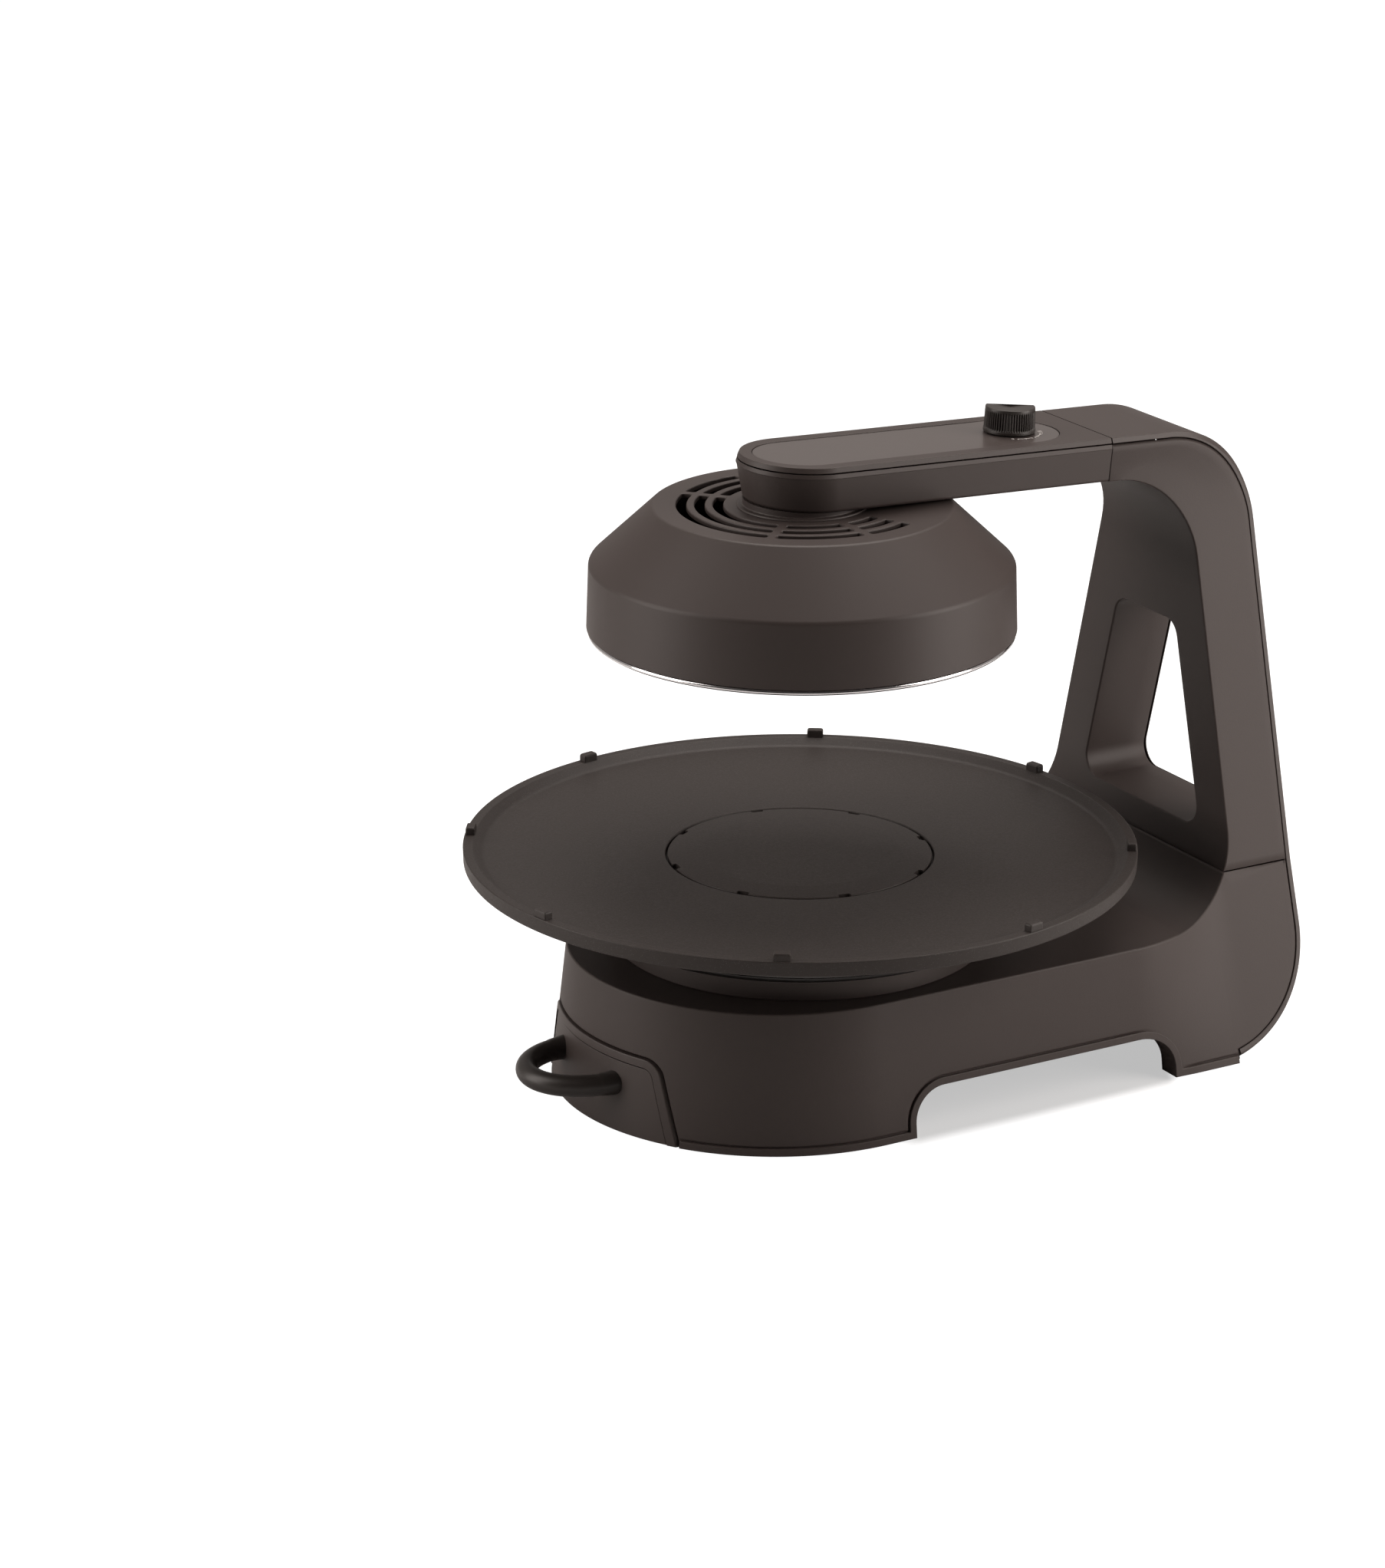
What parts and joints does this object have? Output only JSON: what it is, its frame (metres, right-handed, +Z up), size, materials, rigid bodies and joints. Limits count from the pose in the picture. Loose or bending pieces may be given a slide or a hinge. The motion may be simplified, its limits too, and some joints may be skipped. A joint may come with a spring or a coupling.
{
  "type": "tabletop infrared grill",
  "caption": "Tabletop infrared grill: round pan on a turntable under a lamp head, held by a C-shaped frame with a drip tray drawer.",
  "frame": {"origin": "middle of the bounding box's floor, where the feet stand", "axes": "+X from the drawer's handle to the post, +Y to the left seen from the front, +Z up; the pan's axis is at X -0.046"},
  "size_m": [0.492, 0.4, 0.3926],
  "materials": {
    "housing": "fine moulded texture, warm charcoal",
    "trim": "fine moulded texture, slightly smoother charcoal",
    "panel": "smooth grey inset",
    "black_plastic": "satin black",
    "rubber": "matt black",
    "screw_steel": "zinc plated",
    "brass": "bright",
    "polished": "polished sheet",
    "quartz": "tinted tube",
    "ceramic": "unglazed white",
    "chrome": "plated wire",
    "acetal": "natural bearing plastic",
    "black_enamel": "high gloss black",
    "nonstick": "dark speckled nonstick coating"
  },
  "bodies": {
    "frame": {"base_housing": "housing", "edge_band_left": "trim", "edge_band_right": "trim", "bottom_plate": "black_plastic", "drawer_guide": "black_plastic", "turntable_collar": "housing", "bearing_ring": "acetal", "foot_front_left": "rubber", "foot_front_right": "rubber", "foot_rear_left": "rubber", "foot_rear_right": "rubber", "plate_screw_1": "screw_steel", "plate_screw_2": "screw_steel", "plate_screw_3": "screw_steel", "plate_screw_4": "screw_steel", "post_shell": "housing", "back_cover": "trim", "cover_screw_1": "screw_steel", "cover_screw_2": "screw_steel", "cover_screw_3": "screw_steel", "cover_screw_4": "screw_steel", "power_inlet": "black_plastic", "inlet_pin_1": "brass", "inlet_pin_2": "brass", "inlet_pin_3": "brass", "arm_lower_shell": "housing", "arm_top_cover": "trim", "inset_panel": "panel", "rotary_switch": "black_plastic", "neck_ring": "trim", "neck_screw_1": "screw_steel", "neck_screw_2": "screw_steel", "neck_screw_3": "screw_steel", "head_housing": "housing", "reflector": "polished", "heater_tube_outer": "quartz", "heater_tube_inner": "quartz", "heater_stand_1": "ceramic", "heater_stand_2": "ceramic", "heater_stand_3": "ceramic", "terminal_block": "ceramic", "thermal_cutout": "screw_steel", "wire_guard": "chrome"},
    "drawer": {"drawer_front": "trim", "drip_tray": "polished", "drawer_handle": "black_plastic", "handle_screw_1": "screw_steel", "handle_screw_2": "screw_steel"},
    "knob": {"control_knob": "black_plastic"},
    "turntable": {"turntable_drum": "black_enamel"},
    "pan": {"grill_pan": "nonstick"},
    "drain_cover": {"drain_cover": "nonstick"}
  },
  "joints": [
    {"name": "drawer_slide", "type": "slide", "parent": "frame", "child": "drawer", "axis": [-1, 0, 0], "range_m": [0, 0.13]},
    {"name": "knob_turn", "type": "hinge", "parent": "frame", "child": "knob", "pos_m": [0.09604, 0, 0.37654], "axis": [-0.0384, 0, -0.9993], "range_deg": [0, 270]},
    {"name": "turntable_spin", "type": "hinge", "parent": "frame", "child": "turntable", "pos_m": [-0.046, 0, 0.102], "axis": [0, 0, 1], "continuous": true},
    {"name": "pan_lift", "type": "slide", "parent": "turntable", "child": "pan", "axis": [0, 0, 1], "range_m": [0, 0.06]},
    {"name": "drain_cover_lift", "type": "slide", "parent": "pan", "child": "drain_cover", "axis": [0, 0, 1], "range_m": [0, 0.04]}
  ]
}
